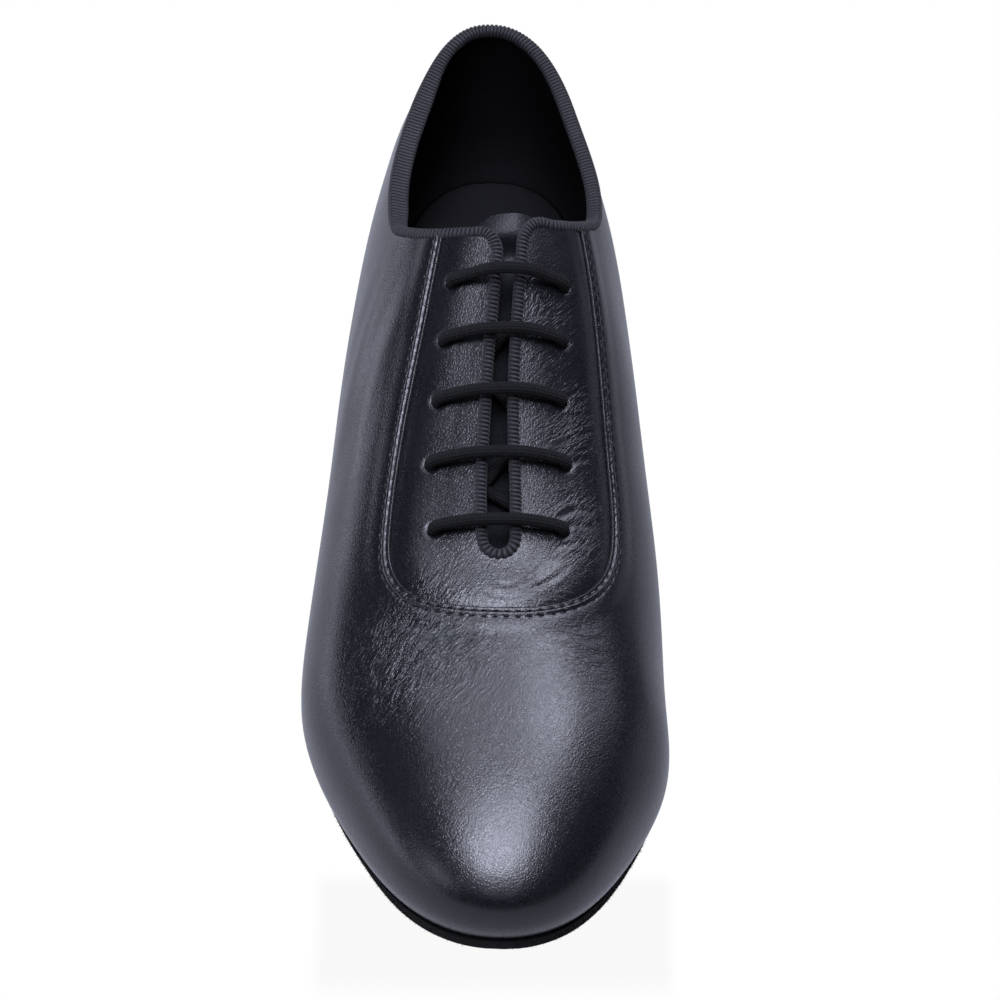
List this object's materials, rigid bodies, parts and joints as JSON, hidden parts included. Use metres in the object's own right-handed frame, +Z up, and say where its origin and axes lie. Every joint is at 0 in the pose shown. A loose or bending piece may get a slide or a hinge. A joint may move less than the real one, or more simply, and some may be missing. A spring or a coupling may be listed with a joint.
{
  "type": "latin dance shoe",
  "caption": "Low lace-up dance shoe for the right foot: soft leather upper with a ribbed topline binding, straight lacing, thin suede sole and a low block heel.",
  "frame": {"origin": "on the floor, under the middle of the shoe's own box", "axes": "+Z up from the floor, +Y from the toe to the heel, +X towards the big-toe side of the foot"},
  "size_m": [0.1028, 0.288, 0.1121],
  "materials": {
    "upper_leather": "soft black leather, satin, with a fine grain",
    "lining_leather": "matt black lining leather",
    "binding_tape": "black ribbed tape",
    "lace_cord": "black round braided cord, matt",
    "stitch_thread": "black thread",
    "sole_suede": "black suede with a napped edge",
    "heel_cover": "black leather cover, satin",
    "top_piece": "matt black rubber"
  },
  "bodies": {
    "root": {"upper": "upper_leather", "topline_binding": "binding_tape", "tongue": "upper_leather", "lace": "lace_cord", "insole": "lining_leather", "outsole": "sole_suede", "heel": "heel_cover", "heel_top_piece": "top_piece"}
  },
  "joints": []
}
